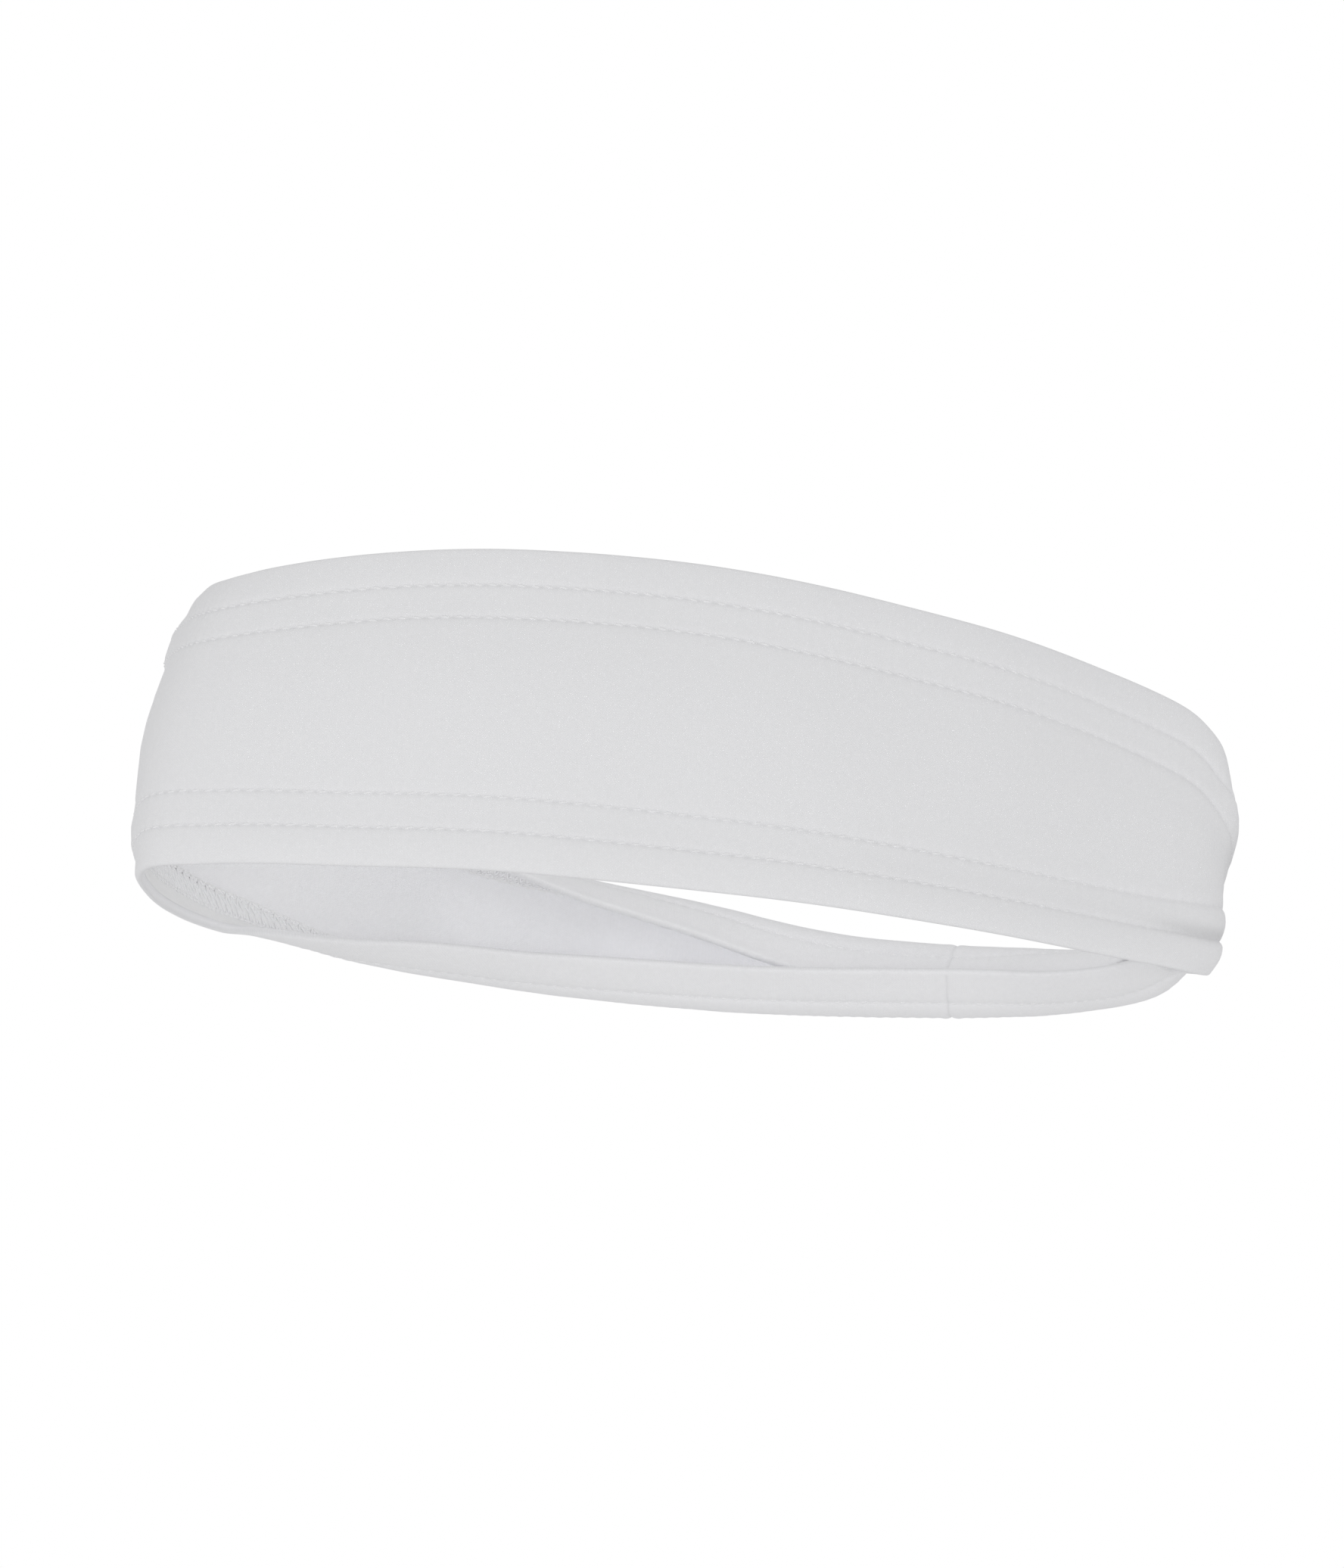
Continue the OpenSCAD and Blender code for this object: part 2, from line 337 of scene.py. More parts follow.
def make_mesh(name, pts, faces, uv=None, smooth=True, shade_paint=None):
    """pts in mm (n x 3); faces (m x 4 or m x 3) int; uv per vertex in mm."""
    pts = (np.asarray(pts, float) - CENTRE) * MM
    me = bpy.data.meshes.new(name)
    faces = np.asarray(faces, np.int32)
    k = faces.shape[1]
    me.vertices.add(len(pts))
    me.vertices.foreach_set("co", pts.astype(np.float32).ravel())
    me.loops.add(faces.size)
    me.loops.foreach_set("vertex_index", faces.ravel())
    me.polygons.add(len(faces))
    me.polygons.foreach_set("loop_start", np.arange(0, faces.size, k, dtype=np.int32))
    me.update(calc_edges=True)
    me.validate()
    if smooth:
        me.polygons.foreach_set("use_smooth", np.ones(len(me.polygons), bool))
    if uv is not None:
        lay = me.uv_layers.new(name="cloth")
        idx = np.empty(len(me.loops), np.int32)
        me.loops.foreach_get("vertex_index", idx)
        # keep a face that crosses the seam from spanning the whole map
        uvl = np.asarray(uv, float)[idx].reshape(-1, k, 2)
        top = uvl[:, :, 0].max(1, keepdims=True)
        u = np.where((top - uvl[:, :, 0] > LOOP / 2), uvl[:, :, 0] + LOOP, uvl[:, :, 0])
        uvl[:, :, 0] = u
        lay.data.foreach_set("uv", (uvl.reshape(-1, 2) * 0.01).astype(np.float32).ravel())
    # painted shade per point, kept as an attribute for the face material to darken by
    if shade_paint is not None:
        me.attributes.new("painted_shade_mask", "FLOAT", "POINT").data.foreach_set("value", np.asarray(shade_paint, np.float32).ravel())
    me.update()
    ob = bpy.data.objects.new(name, me)
    scene.collection.objects.link(ob)
    return ob


def ring_faces(m, n, closed_outline=True):
    """Quads of m columns of n points; columns close into a ring."""
    a = np.arange(m)[:, None]
    j = np.arange(n if closed_outline else n - 1)[None, :]
    b = (a + 1) % m
    j2 = (j + 1) % n
    return np.stack([(a * n + j), (b * n + j), (b * n + j2), (a * n + j2)], -1).reshape(-1, 4)


def strip_faces(m, n):
    """Quads of an open run of m columns of a closed outline of n points, with caps."""
    a = np.arange(m - 1)[:, None]
    j = np.arange(n)[None, :]
    b = a + 1
    j2 = (j + 1) % n
    q = np.stack([(a * n + j), (b * n + j), (b * n + j2), (a * n + j2)], -1).reshape(-1, 4)
    half = n // 2
    k = np.arange(half - 1)
    c0 = np.stack([k, k + 1, n - 2 - k, n - 1 - k], -1)
    c1 = np.stack([k, n - 1 - k, n - 2 - k, k + 1], -1) + (m - 1) * n
    return np.concatenate([q, c0, c1])


def tubes(name, centres, radii, sides=6, uv=None, closed=False):
    """centres: list of (n x 3) arrays in mm; radii: float or arrays. One mesh of round threads."""
    allp, allf, alluv, base = [], [], [], 0
    ang = 2 * np.pi * np.arange(sides) / sides
    for idx, c in enumerate(centres):
        n = len(c)
        if closed:
            tan = np.roll(c, -1, 0) - np.roll(c, 1, 0)
        else:
            tan = np.gradient(c, axis=0)
        tan /= np.linalg.norm(tan, axis=1)[:, None] + 1e-12
        ref = np.zeros_like(tan)
        ref[:, 2] = 1
        flat = np.abs(tan[:, 2]) > 0.92
        ref[flat] = (1, 0, 0)
        if flat.any() and not flat.all():
            # carry one frame along so that the tube does not twist
            ref = None
        if ref is None:
            a = np.empty_like(tan)
            v = np.cross(tan[0], (0.3, 0.5, 0.8))
            v /= np.linalg.norm(v)
            for i in range(n):
                v = v - tan[i] * (v @ tan[i])
                v /= np.linalg.norm(v) + 1e-12
                a[i] = v
        else:
            a = np.cross(tan, ref)
            a /= np.linalg.norm(a, axis=1)[:, None]
        b = np.cross(tan, a)
        r = radii[idx] if isinstance(radii, (list, tuple)) else radii
        r = np.broadcast_to(np.asarray(r, float), (n,))
        p = c[:, None, :] + r[:, None, None] * (a[:, None, :] * np.cos(ang)[None, :, None]
                                                + b[:, None, :] * np.sin(ang)[None, :, None])
        allp.append(p.reshape(-1, 3))
        if closed:
            allf.append(ring_faces(n, sides) + base)
            cnt = n * sides
        else:
            i = np.arange(n - 1)[:, None]
            j = np.arange(sides)[None, :]
            j2 = (j + 1) % sides
            f = np.stack([i * sides + j, i * sides + j2, (i + 1) * sides + j2, (i + 1) * sides + j], -1).reshape(-1, 4)
            allf.append(f + base)
            cnt = n * sides
        if uv is not None:
            uu = np.repeat(uv[idx], sides, 0)
            alluv.append(uu)
        base += cnt
    return np.concatenate(allp), np.concatenate(allf), (np.concatenate(alluv) if uv is not None else None)


# ---------------------------------------------------------------------------
# 3. The knit: face panel and the two turn-unders
# ---------------------------------------------------------------------------
PER = 6
cols = np.arange(STITCHES * PER) * (PITCH / PER)
near = np.array([-2.2, -1.7, -1.25, -0.95, -0.7, -0.5, -0.33, -0.18, 0, 0.18, 0.33, 0.5, 0.7, 0.95, 1.25, 1.7, 2.2])
cols = cols[seam_dist(cols) > 2.4]
cols = np.sort(np.concatenate([cols, np.mod(near, LOOP)]))
W = Wall(cols)
M = len(cols)


def dense(lo, hi):
    """Cloth lengths in a hem, closer together at the needle rows."""
    base = [1.35, 2.0, 2.8, 3.7, 4.6, 5.4, 6.0, 6.4, 6.7, 6.95, 7.15, 7.3, 7.45, 7.65, 7.9, 8.2, 8.7, 9.4, 10.2,
            11.0, 11.8, 12.4, 12.8, 13.1, 13.3, 13.5, 13.65, 13.8, 14.0, 14.25, 14.6, 15.1, 15.7, 16.4, 17.3]
    return np.array([b for b in base if lo <= b <= hi])


HEM = dense(0, 15.2)             # where the cloth is shortest, the two hems leave 3 mm between these
FIELD = 26
ARC = np.linspace(0, np.pi, 9)          # the fold, from the face round to the inside


def outline(wall, hem_rows, field_rows, s):
    """Face panel: outer surface with both folds, then its back. Returns the t and o arrays and the indices n_lo, n_hi
    and n_back.
    """
    m = len(wall.s)
    h = wall.h[:, None]
    one = np.ones((m, 1))
    t, o, v = [], [], []
    kf = K                                # fold radius: two layers are 2K thick
    # lower hook: from the inside end of the fold round to the face
    tail = 1.6
    t.append(one * (kf + tail)); o.append(one * (2 * K - 0.10))
    t.append(one * (kf + 0.8)); o.append(one * 2 * K)
    for a in ARC[::-1]:
        t.append(one * (kf - kf * math.sin(a))); o.append(one * (kf - kf * math.cos(a)))
    n_lo = len(t)
    for b in hem_rows:
        t.append(one * b); o.append(one * 0)
    lo_end, hi_end = hem_rows[-1], hem_rows[-1]
    for k in range(1, field_rows):
        f = k / field_rows
        t.append(lo_end + (h - hi_end - lo_end) * f); o.append(one * 0)
    for b in hem_rows[::-1]:
        t.append(h - b); o.append(one * 0)
    n_hi = len(t)
    for a in ARC:
        t.append(h - (kf - kf * math.sin(a))); o.append(one * (kf - kf * math.cos(a)))
    t.append(h - (kf + 0.8)); o.append(one * 2 * K)
    t.append(h - (kf + tail)); o.append(one * (2 * K - 0.10))
    n_back = len(t)
    # the back of the single layer
    back = [kf + tail, 4.5, 7.3, 9.5, 12.0, 13.65, 14.6, 15.6]
    for b in back:
        t.append(h - b); o.append(one * K)
    fb = 16
    for k in range(1, fb):
        f = k / fb
        t.append(h - back[-1] - (h - 2 * back[-1]) * f); o.append(one * K)
    for b in back[::-1]:
        t.append(one * b); o.append(one * K)
    t = np.concatenate(t, 1)
    o = np.concatenate(o, 1)
    return t, o, n_lo, n_hi, n_back


t, o, n_lo, n_hi, n_back = outline(W, HEM, FIELD, cols)
S2 = np.broadcast_to(cols[:, None], t.shape)
H2 = np.broadcast_to(W.h[:, None], t.shape)
rl = relief(S2, t, H2)
calm = relief(S2, t, H2, fine=False)
j = np.arange(t.shape[1])
on_face = (j >= n_lo) & (j < n_hi)
on_back = j >= n_back
# the folds carry on the relief of their ends
rr = np.where(on_face[None, :], rl, np.where(on_back[None, :], 0.55 * calm, 0.25 * drift(S2, t)))
rr = rr + turns(S2, t, H2)
P = W.at(t, o - rr)
lo_pt = P.reshape(-1, 3)
CENTRE = np.array([(lo_pt[:, 0].min() + lo_pt[:, 0].max()) / 2,
                   (lo_pt[:, 1].min() + lo_pt[:, 1].max()) / 2, lo_pt[:, 2].min()])
uv = np.stack([S2, np.where(on_back[None, :], -t, t)], -1).reshape(-1, 2)
# painted shade on the face, from the stitches, seam, pinch and right-hand turn
shade_paint = np.where(on_face[None, :], shade(S2, t, H2), 0.0)
# painted shade on the folds, where they turn away from the light: darker from a third of the way round
turn = np.concatenate([[0, 0], 1.6 * bump(ARC[::-1] - 1.6, 0.6),
                       np.zeros(n_hi - n_lo), 1.6 * bump(ARC - 1.6, 0.6), [0, 0]])
shade_paint[:, :n_back] += turn[None, :n_back]
face = make_mesh("face_panel_knit", P.reshape(-1, 3), ring_faces(M, t.shape[1]), uv, shade_paint=shade_paint)


def hem_piece(name, top):
    """The turned-under margin, lying on the back of the face panel."""
    step = 1
    s = cols[::step]
    wall = Wall(s)
    h = wall.h[:, None]
    one = np.ones((len(s), 1))
    a = [K + 1.15, K + 1.7, 3.4, 4.6, 5.8, 6.5, 7.0, 7.3, 7.6, 8.1, 9.0, 10.2, 11.6, 12.6, 13.2, 13.65, 14.0, RAW - 0.15, RAW]
    t = [one * x for x in a] + [one * x for x in a[::-1]]
    o = [one * (2 * K - 0.22), one * (2 * K - 0.06)] + [one * 2 * K] * (len(a) - 4) + [one * (2 * K - 0.05), one * (2 * K - 0.25)] + [one * (K + 0.25)] + [one * (K + 0.02)] * (len(a) - 1)
    d = np.concatenate(t, 1)
    o = np.concatenate(o, 1)
    S = np.broadcast_to(s[:, None], d.shape)
    tt = (h - d) if top else d
    Hh = np.broadcast_to(h, d.shape)
    n = len(a)
    jj = np.arange(d.shape[1])
    outer = jj < n
    # looper tension draws the inside into the needle rows too
    x = np.mod(S / PITCH, 1.0)
    dip = 0.22 * bump(d - ROW1, 0.7) + 0.22 * bump(d - ROW2, 0.7)
    puff = 0.14 * np.where((d > ROW1) & (d < ROW2), np.sin(np.pi * (d - ROW1) / (ROW2 - ROW1)), 0)
    puff = puff + 0.10 * np.sin(np.pi * np.clip(d / ROW1, 0, 1)) * (d < ROW1) * np.clip((d - K - 1.45) / 1.5, 0, 1)
    wav = 0.06 * np.cos(2 * np.pi * x) * bump(d - (ROW1 + ROW2) / 2, 3.2)
    ragged = 0.10 * np.sin(S * 2.1) + 0.07 * np.sin(S * 5.3 + 1.0)
    d2 = d + np.where((d > RAW - 0.3), ragged, 0)
    tt = (h - d2) if top else d2
    off = np.where(outer[None, :], puff - dip + wav, 0) * np.clip((d - K - 1.45) / 1.2, 0, 1) - 0.25 * drift(S, tt)
    p = wall.at(tt, o + off - turns(S, tt, Hh))
    faces = ring_faces(len(s), d.shape[1])
    if not top:
        faces = faces[:, ::-1]
    uvh = np.stack([S, -tt * 1.0], -1).reshape(-1, 2)
    return make_mesh(name, p.reshape(-1, 3), faces, uvh), faces


top_hem, _ = hem_piece("top_hem_knit", True)
bot_hem, _ = hem_piece("bottom_hem_knit", False)

# ---------------------------------------------------------------------------
# 4. Needle threads: one short span of thread for each stitch
# ---------------------------------------------------------------------------


def needle_row(name, dist, top):
    n = 9
    k = np.arange(STITCHES)
    x = np.linspace(0.16, 0.84, n)
    jit = rng.normal(0, 1, (STITCHES, 3))
    f = (x - x[0]) / (x[-1] - x[0])
    s = (k[:, None] + x[None, :]) * PITCH + 0.04 * jit[:, :1]
    # the seam's stitches keep their place
    ss = np.mod(s.ravel(), LOOP)
    wall = Wall(ss)
    shift = np.tile(slot_shift(x), STITCHES) + np.repeat(0.03 * jit[:, 1], n)
    d = dist + shift
    tt = (wall.h - d) if top else d
    base = relief(ss, tt, wall.h, fine=False)
    arch = np.tile(np.sin(np.pi * f) ** 0.8, STITCHES)
    sink = 0.13 / (1 + np.exp(-(ss - 414) / 7)) * (ss < 470) + 0.10 * rear(ss)
    if dist == ROW1 and not top:
        sink = sink + 0.35 * pinched(ss)
    high = base - 0.50 + 0.50 * arch + np.repeat(0.02 * jit[:, 2], n) - sink + turns(ss, tt, wall.h)
    p = wall.at(tt[:, None], -high[:, None])[:, 0, :]
    cs = list(p.reshape(STITCHES, n, 3))
    r = 0.10 + 0.10 * np.sin(np.pi * f) ** 0.5
    uvt = [np.stack([s[i], np.full(n, dist)], -1) for i in range(STITCHES)]
    pts, fc, u = tubes(name, cs, [r] * STITCHES, 6, uvt)
    return make_mesh(name, pts, fc, u)


rows = [needle_row("top_upper_needle_stitches", ROW1, True),
        needle_row("top_lower_needle_stitches", ROW2, True),
        needle_row("bottom_upper_needle_stitches", ROW2, False),
        needle_row("bottom_lower_needle_stitches", ROW1, False)]

# ---------------------------------------------------------------------------
# 5. Looper threads: crossing strands between the rows, and a chain on each
# ---------------------------------------------------------------------------


def strand(s, d, lift_, top):
    wall = Wall(np.mod(s, LOOP))
    tt = (wall.h - d) if top else d
    dip = 0.22 * bump(d - ROW1, 0.7) + 0.22 * bump(d - ROW2, 0.7)
    puff = 0.14 * np.where((d > ROW1) & (d < ROW2), np.sin(np.pi * (d - ROW1) / (ROW2 - ROW1)), 0)
    off = 2 * K + puff - dip - 0.25 * drift(np.mod(s, LOOP), tt) + lift_ - turns(s, tt, wall.h)
    return wall.at(tt[:, None], off[:, None])[:, 0, :]


def looper(name, top):
    mid, amp = (ROW1 + ROW2) / 2, (ROW2 - ROW1) / 2
    cs = []
    rad = []
    per = 10
    x = np.arange(STITCHES * per) / per
    tri = lambda v: 2 * np.abs(2 * (v - np.floor(v + 0.5))) - 1
    # two crossing strands, rounded at the rows
    for ph, lf in ((0.0, 0.05), (0.5, 0.14)):
        z = np.clip(tri(x + ph) * 1.12, -1, 1)
        z = np.sin(z * np.pi / 2) * 0.35 + z * 0.65
        along = x + 0.22 * np.sin(2 * np.pi * (x + ph)) * np.abs(z) ** 3
        cs.append(strand(along * PITCH, mid + amp * z * 1.03, lf + 0.06 * np.cos(2 * np.pi * x), top))
        rad.append(0.21)
    # chain of loops on each row
    for row in (ROW1, ROW2):
        for ph in (0.0, 0.5):
            d = row + 0.34 * np.sin(2 * np.pi * (x + ph))
            lf = 0.07 + 0.06 * np.cos(2 * np.pi * (x + ph))
            along = x + 0.10 * np.sin(4 * np.pi * (x + ph))
            cs.append(strand(along * PITCH, d, lf, top))
            rad.append(0.19)
    uvs = [np.stack([x * PITCH, np.full(len(x), i * 1.0)], -1) for i in range(len(cs))]
    pts, fc, u = tubes(name, cs, rad, 5, uvs, closed=True)
    return make_mesh(name, pts, fc, u)


loop_top = looper("top_looper_chain", True)
loop_bot = looper("bottom_looper_chain", False)

# ---------------------------------------------------------------------------
# 6. Centre-back seam: two allowances and their thread
# ---------------------------------------------------------------------------


def allowance(name, side):
    s = side * np.array([0.42, 0.8, 1.4, 2.2, 3.0, 3.8, 4.6, 5.3, 5.9, 6.2])
    if side < 0:
        s = s[::-1]
    wall = Wall(np.mod(s, LOOP))
    h = wall.h[:, None]
    n = 22
    f = np.linspace(0, 1, n)[None, :]
    tt = RAW + 0.35 + (h - 2 * RAW - 0.7) * f
    a = np.abs(s)[:, None]
    wave = 0.10 * np.sin(tt * 1.3 + 0.6) * np.clip(a / 6, 0, 1) + 0.05 * np.sin(tt * 3.7)* np.clip(a / 6, 0, 1)
    edge = np.clip((6.25 - a) / 0.5, 0.25, 1)
    inner = K + 0.06 + wave + 0.12
    outer = K + 0.10 + 0.74 * edge + wave + 0.12
    t2 = np.concatenate([tt, tt[:, ::-1]], 1)
    o2 = np.concatenate([np.broadcast_to(inner, tt.shape), np.broadcast_to(outer, tt.shape)[:, ::-1]], 1)
    p = wall.at(t2, o2)
    uvv = np.stack([np.broadcast_to(np.mod(s, LOOP)[:, None], t2.shape), -t2], -1).reshape(-1, 2)
    return make_mesh(name, p.reshape(-1, 3), strip_faces(len(s), t2.shape[1])[:, ::-1], uvv)


seam_l = allowance("seam_allowance_left_knit", 1)
seam_r = allowance("seam_allowance_right_knit", -1)


def seam_thread(name):
    cs, rad, uvs = [], [], []
    h0 = float(Wall(np.array([0.0])).h[0])
    t0, t1 = RAW + 0.6, h0 - RAW - 0.6
    # row of lock stitches down the seam, between the allowances
    n = 60
    f = np.linspace(0, 1, n)
    cs.append((0.06 * np.sin(f * 40), t0 + (t1 - t0) * f, K + 0.35 + 0.12 * np.sin(f * 2 * np.pi * 6)))
    rad.append(0.15)
    # overlocking round each allowance's outer edge
    for side in (1, -1):
        m = 7 * 14
        f = np.linspace(0, 1, m)
        w = 2 * np.pi * 7 * f
        a = 4.7 + 1.55 * np.sin(w)
        cs.append((side * a, t0 + (t1 - t0) * f + 0.35 * np.cos(w), K + 1.08 + 0.10 * np.cos(w)))
        rad.append(0.14)
        cs.append((side * (3.1 + 0.18 * np.sin(2 * w)), t0 + (t1 - t0) * f, np.full(m, K + 1.06)))
        rad.append(0.13)
    pts = []
    for s, tt, o in cs:
        s = np.broadcast_to(s, tt.shape)
        wall = Wall(np.mod(s, LOOP))
        pts.append(wall.at(np.asarray(tt)[:, None], np.asarray(o)[:, None])[:, 0, :])
        uvs.append(np.stack([np.mod(s, LOOP), tt], -1))
    p, fc, u = tubes(name, pts, rad, 6, uvs)
    return make_mesh(name, p, fc, u)


seam_t = seam_thread("back_seam_stitches")

# ---------------------------------------------------------------------------
# 7. Materials
# ---------------------------------------------------------------------------


class Nodes:
    def __init__(self, name):
        self.mat = bpy.data.materials.new(name)
        self.mat.use_nodes = True
        self.t = self.mat.node_tree
        self.t.nodes.clear()
        self.out = self.t.nodes.new("ShaderNodeOutputMaterial")
        self.b = self.t.nodes.new("ShaderNodeBsdfPrincipled")
        self.t.links.new(self.b.outputs[0], self.out.inputs[0])

    def new(self, kind, **kw):
        n = self.t.nodes.new(kind)
        for k, v in kw.items():
            setattr(n, k, v)
        return n

    def link(self, a, b):
        self.t.links.new(a, b)

    def math(self, op, a, b=None, c=None, clamp=False):
        n = self.new("ShaderNodeMath", operation=op, use_clamp=clamp)
        for i, v in enumerate((a, b, c)):
            if v is None:
                continue
            if isinstance(v, (int, float)):
                n.inputs[i].default_value = v
            else:
                self.link(v, n.inputs[i])
        return n.outputs[0]


def knit_material(name, base, wale, course, bump_mm, mottled=0.012, sheen=0.12, rough=0.86, painted_shade_strength=0.0):
    n = Nodes(name)
    uvn = n.new("ShaderNodeUVMap", uv_map="cloth")
    sep = n.new("ShaderNodeSeparateXYZ")
    n.link(uvn.outputs[0], sep.inputs[0])
    # uv is in decimetres: 100 mm to the unit
    u = n.math("MULTIPLY", sep.outputs[0], 100.0 / wale)
    v = n.math("MULTIPLY", sep.outputs[1], 100.0 / course)
    # a little wander keeps the loops from lining up like print
    tc = n.new("ShaderNodeTexCoord")
    wander = n.new("ShaderNodeTexNoise")
    wander.inputs["Scale"].default_value = 260.0
    wander.inputs["Detail"].default_value = 2.0
    n.link(tc.outputs["Object"], wander.inputs["Vector"])
    w = n.math("MULTIPLY_ADD", wander.outputs[0], 0.55, -0.27)
    u2 = n.math("ADD", u, w)
    v2 = n.math("ADD", v, w)
    # legs of the loops: a V in each wale
    saw = n.math("PINGPONG", u2, 0.5)
    leg = n.math("SINE", n.math("MULTIPLY", u2, 4 * math.pi))
    leg = n.math("MULTIPLY_ADD", leg, 0.5, 0.5)
    slope = n.math("MULTIPLY_ADD", saw, 1.7, v2)
    crest = n.math("SINE", n.math("MULTIPLY", slope, 2 * math.pi))
    crest = n.math("MULTIPLY_ADD", crest, 0.5, 0.5)
    loops = n.math("MULTIPLY", n.math("MULTIPLY_ADD", leg, 0.45, 0.55), crest)
    fuzz = n.new("ShaderNodeTexNoise")
    fuzz.inputs["Scale"].default_value = 2600.0
    fuzz.inputs["Detail"].default_value = 3.0
    fuzz.inputs["Roughness"].default_value = 0.6
    n.link(tc.outputs["Object"], fuzz.inputs["Vector"])
    height = n.math("MULTIPLY_ADD", fuzz.outputs[0], 0.7, loops)
    bmp = n.new("ShaderNodeBump")
    bmp.inputs["Strength"].default_value = 0.55
    bmp.inputs["Distance"].default_value = bump_mm * MM
    n.link(height, bmp.inputs["Height"])
    n.link(bmp.outputs[0], n.b.inputs["Normal"])
    # colour: soft mottling, painted shade between the loops, paler specks of filament
    blotch = n.new("ShaderNodeTexNoise")
    blotch.inputs["Scale"].default_value = 38.0
    blotch.inputs["Detail"].default_value = 4.0
    n.link(tc.outputs["Object"], blotch.inputs["Vector"])
    specks = n.new("ShaderNodeTexNoise")
    specks.inputs["Scale"].default_value = 1300.0
    specks.inputs["Detail"].default_value = 1.0
    n.link(tc.outputs["Object"], specks.inputs["Vector"])
    sp = n.math("MULTIPLY_ADD", specks.outputs[0], 0.05, -0.025)
    k = n.math("MULTIPLY_ADD", blotch.outputs[0], mottled * 2, 1 - mottled)
    k = n.math("MULTIPLY_ADD", loops, 0.035, n.math("SUBTRACT", k, 0.018))
    k = n.math("ADD", k, sp)
    # painted shade: the colour is darkened where the mesh's painted-shade attribute is set
    if painted_shade_strength:
        at_ = n.new("ShaderNodeAttribute", attribute_name="painted_shade_mask")
        k = n.math("MULTIPLY", k, n.math("MULTIPLY_ADD", at_.outputs["Fac"], -painted_shade_strength, 1.0))
    col = n.new("ShaderNodeVectorMath", operation="SCALE")
    col.inputs[0].default_value = base
    n.link(k, col.inputs["Scale"])
    n.link(col.outputs[0], n.b.inputs["Base Color"])
    rg = n.math("MULTIPLY_ADD", fuzz.outputs[0], 0.16, rough - 0.08)
    n.link(rg, n.b.inputs["Roughness"])
    n.b.inputs["Specular IOR Level"].default_value = 0.22
    n.b.inputs["Sheen Weight"].default_value = sheen
    n.b.inputs["Sheen Roughness"].default_value = 0.45
    n.b.inputs["Sheen Tint"].default_value = (1, 1, 1, 1)
    return n.mat


def thread_material(name, base, scale=1.0):
    n = Nodes(name)
    uvn = n.new("ShaderNodeUVMap", uv_map="cloth")
    sep = n.new("ShaderNodeSeparateXYZ")
    n.link(uvn.outputs[0], sep.inputs[0])
    tc = n.new("ShaderNodeTexCoord")
    # plies of a twisted thread
    ply = n.math("SINE", n.math("MULTIPLY", sep.outputs[0], 100.0 * 2 * math.pi / 0.55))
    fuzz = n.new("ShaderNodeTexNoise")
    fuzz.inputs["Scale"].default_value = 3800.0
    fuzz.inputs["Detail"].default_value = 2.0
    n.link(tc.outputs["Object"], fuzz.inputs["Vector"])
    height = n.math("MULTIPLY_ADD", ply, 0.3, fuzz.outputs[0])
    bmp = n.new("ShaderNodeBump")
    bmp.inputs["Strength"].default_value = 0.4
    bmp.inputs["Distance"].default_value = 0.03 * MM
    n.link(height, bmp.inputs["Height"])
    n.link(bmp.outputs[0], n.b.inputs["Normal"])
    k = n.math("MULTIPLY_ADD", fuzz.outputs[0], 0.08, 0.96)
    col = n.new("ShaderNodeVectorMath", operation="SCALE")
    col.inputs[0].default_value = base
    n.link(k, col.inputs["Scale"])
    n.link(col.outputs[0], n.b.inputs["Base Color"])
    rg = n.math("MULTIPLY_ADD", fuzz.outputs[0], 0.2, 0.42)
    n.link(rg, n.b.inputs["Roughness"])
    n.b.inputs["Specular IOR Level"].default_value = 0.4
    n.b.inputs["Sheen Weight"].default_value = 0.15
    return n.mat


face_mat = knit_material("face_knit", (0.925, 0.925, 0.940), 0.62, 0.46, 0.05, painted_shade_strength=0.07)
# the inner side is painted paler and less blue than the face, to offset the shade inside the band and the blue tint of
# light bouncing there
back_mat = knit_material("inner_knit", (0.931, 0.931, 0.933), 0.62, 0.46, 0.06)
thread_mat = thread_material("sewing_thread", (0.95, 0.95, 0.96))

pairs = [(face, face_mat, "face_knit", ["face_panel"]),
         (top_hem, back_mat, "inner_knit", ["top_hem_turn_under"]),
         (bot_hem, back_mat, "inner_knit", ["bottom_hem_turn_under"]),
         (rows[0], thread_mat, "sewing_thread", ["top_hem_upper_needle_thread"]),
         (rows[1], thread_mat, "sewing_thread", ["top_hem_lower_needle_thread"]),
         (rows[2], thread_mat, "sewing_thread", ["bottom_hem_upper_needle_thread"]),
         (rows[3], thread_mat, "sewing_thread", ["bottom_hem_lower_needle_thread"]),
         (loop_top, thread_mat, "sewing_thread", ["top_hem_looper_thread"]),
         (loop_bot, thread_mat, "sewing_thread", ["bottom_hem_looper_thread"]),
         (seam_l, back_mat, "inner_knit", ["seam_allowance_left"]),
         (seam_r, back_mat, "inner_knit", ["seam_allowance_right"]),
         (seam_t, thread_mat, "sewing_thread", ["back_seam_thread"])]
for ob, mat, slot_, nodes in pairs:
    ob.data.materials.clear()
    ob.data.materials.append(mat)
    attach(ob, "root")
    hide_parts(*nodes)

mean_h = float(W.h.mean())

WORLD = 0.65
LIGHTS = (("front", 4, -12, 2.3, 0.6, 0.095),
          ("below", 0, -42, 0.85, 0.7, 0.07),
          ("left", -72, -5, 1.5, 1.2, 0.056),
          ("right", 70, -10, 1.5, 1.2, 0.02))

# ---------------------------------------------------------------------------
# 8. Floor, light and camera
# ---------------------------------------------------------------------------
bpy.ops.mesh.primitive_circle_add(vertices=96, radius=5.0, fill_type="NGON", location=(0, 0, -0.62))
floor = bpy.context.object
floor.name = "studio_floor"
fm = bpy.data.materials.new("studio_floor")
fm.use_nodes = True
fb = fm.node_tree.nodes["Principled BSDF"]
fb.inputs["Base Color"].default_value = (0.97, 0.97, 0.97, 1)
fb.inputs["Roughness"].default_value = 0.9
floor.data.materials.append(fm)

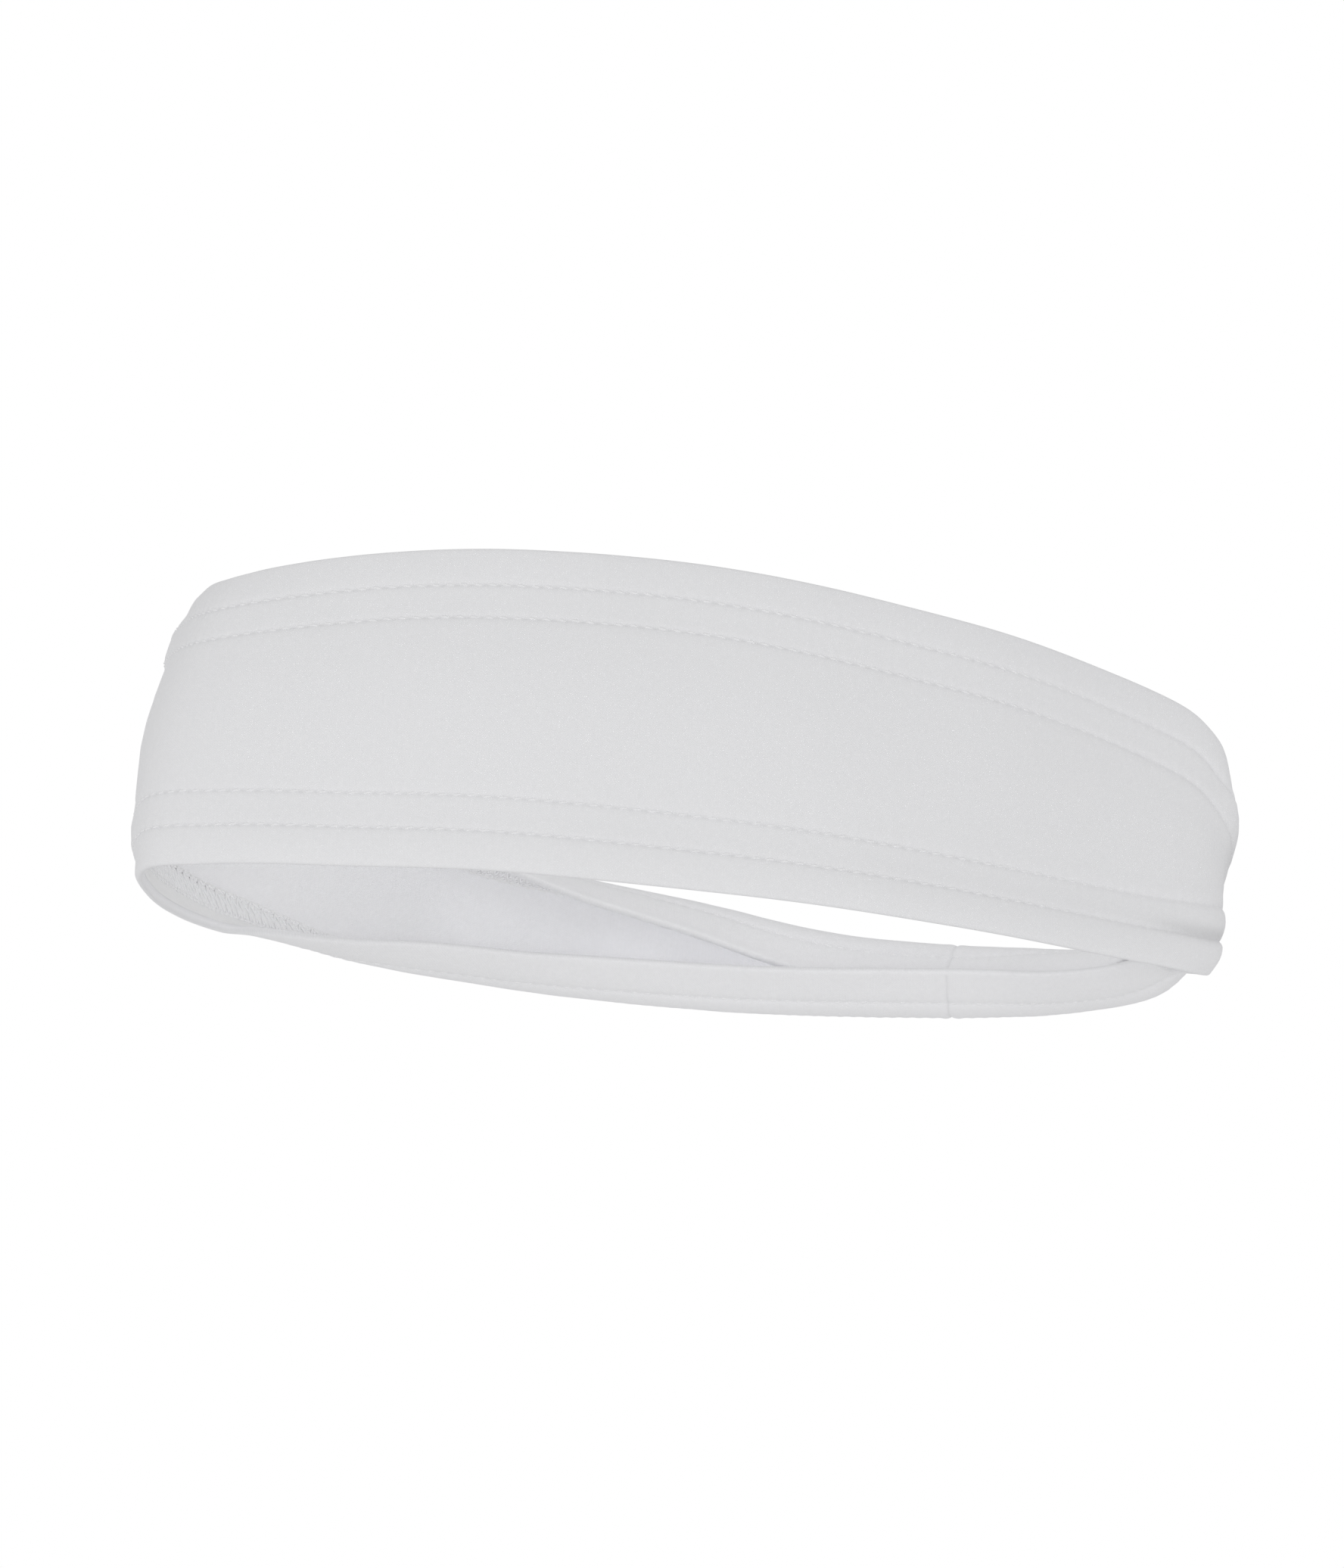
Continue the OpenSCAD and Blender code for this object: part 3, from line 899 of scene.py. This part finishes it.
world = bpy.data.worlds.new("studio")
scene.world = world
world.use_nodes = True
wt = world.node_tree
wt.nodes.clear()
wo = wt.nodes.new("ShaderNodeOutputWorld")
seen = wt.nodes.new("ShaderNodeBackground")
seen.inputs[0].default_value = (1, 1, 1, 1)
seen.inputs[1].default_value = 1.0
glow = wt.nodes.new("ShaderNodeBackground")
glow.inputs[0].default_value = (1, 1, 1, 1)
glow.inputs[1].default_value = WORLD
pick = wt.nodes.new("ShaderNodeMixShader")
path = wt.nodes.new("ShaderNodeLightPath")
wt.links.new(path.outputs["Is Camera Ray"], pick.inputs[0])
wt.links.new(glow.outputs[0], pick.inputs[1])
wt.links.new(seen.outputs[0], pick.inputs[2])
wt.links.new(pick.outputs[0], wo.inputs[0])


def soft_light(name, azimuth, elevation, dist, size, level):
    """A round soft light aimed at the band; level is what it adds to a white sheet facing it."""
    a, e = math.radians(azimuth), math.radians(elevation)
    d = Vector((math.sin(a) * math.cos(e), -math.cos(a) * math.cos(e), math.sin(e)))
    li = bpy.data.lights.new(name, "AREA")
    li.shape = "DISK"
    li.size = size
    li.energy = level * math.pi * math.pi * dist * dist
    ob = bpy.data.objects.new(name, li)
    scene.collection.objects.link(ob)
    ob.location = d * dist + Vector((0, 0, 0.03))
    ob.rotation_euler = (-d).to_track_quat("-Z", "Y").to_euler()
    return ob


for spec in LIGHTS:
    soft_light(*spec)

# weak fills inside the band, where its front and the two curled edges at the back shut the light out:
# place, direction, size and power
for place, way, wide, tall, power in (((-0.026, 0.0505, 0.0122), (-0.40, 1, 0), 0.034, 0.003, 0.00012),
                                      ((0.006, 0.0558, 0.0098), (0, 1, 0), 0.034, 0.003, 0.00028),
                                      ((0.026, 0.0560, 0.0090), (0.1, 1, 0), 0.016, 0.002, 0.00020),
                                      ((0.022, 0.004, 0.027), (0.05, 1, -0.22), 0.112, 0.016, 0.0034),
                                      ((-0.058, 0.004, 0.024), (-0.8, 0.75, -0.15), 0.030, 0.014, 0.0008)):
    li = bpy.data.lights.new("inner_fill", "AREA")
    li.shape = "RECTANGLE"
    li.size, li.size_y, li.energy = wide, tall, power
    strip = bpy.data.objects.new("inner_fill", li)
    scene.collection.objects.link(strip)
    strip.location = place
    strip.rotation_euler = Vector(way).to_track_quat("-Z", "Y").to_euler()
    strip.visible_camera = False

E, ROLL, DIST, FPX = math.radians(11.21), math.radians(4.19), 2500.0, 7.24 * 2500.0
PX, PY = 911.8, 1050.9                   # where the aim point falls, in the 1776 x 2072 frame
fw = np.array([0, math.cos(E), math.sin(E)])
up0 = np.array([0, -math.sin(E), math.cos(E)])
r0 = np.array([1.0, 0, 0])
right = r0 * math.cos(ROLL) + up0 * math.sin(ROLL)
up = up0 * math.cos(ROLL) - r0 * math.sin(ROLL)
aim = np.array([0, 0, 30.0]) - CENTRE
aim = aim - right * (PX - 888) / 7.24 + up * (PY - 1036) / 7.24
pos = aim - fw * DIST
cam = bpy.data.cameras.new("camera")
cam.sensor_fit = "HORIZONTAL"
cam.sensor_width = 36.0
cam.lens = FPX / 1776 * 36.0
cam.clip_start = 0.05
cam.clip_end = 50
cam.dof.use_dof = False
cob = bpy.data.objects.new("camera", cam)
scene.collection.objects.link(cob)
m = np.eye(4)
m[:3, 0], m[:3, 1], m[:3, 2], m[:3, 3] = right, up, -fw, pos * MM
cob.matrix_world = Matrix(m.tolist())
scene.camera = cob
scene.cycles.diffuse_bounces = 10
scene.view_settings.view_transform = "Standard"
scene.view_settings.look = "None"
scene.view_settings.exposure = 0.0
scene.view_settings.gamma = 1.0
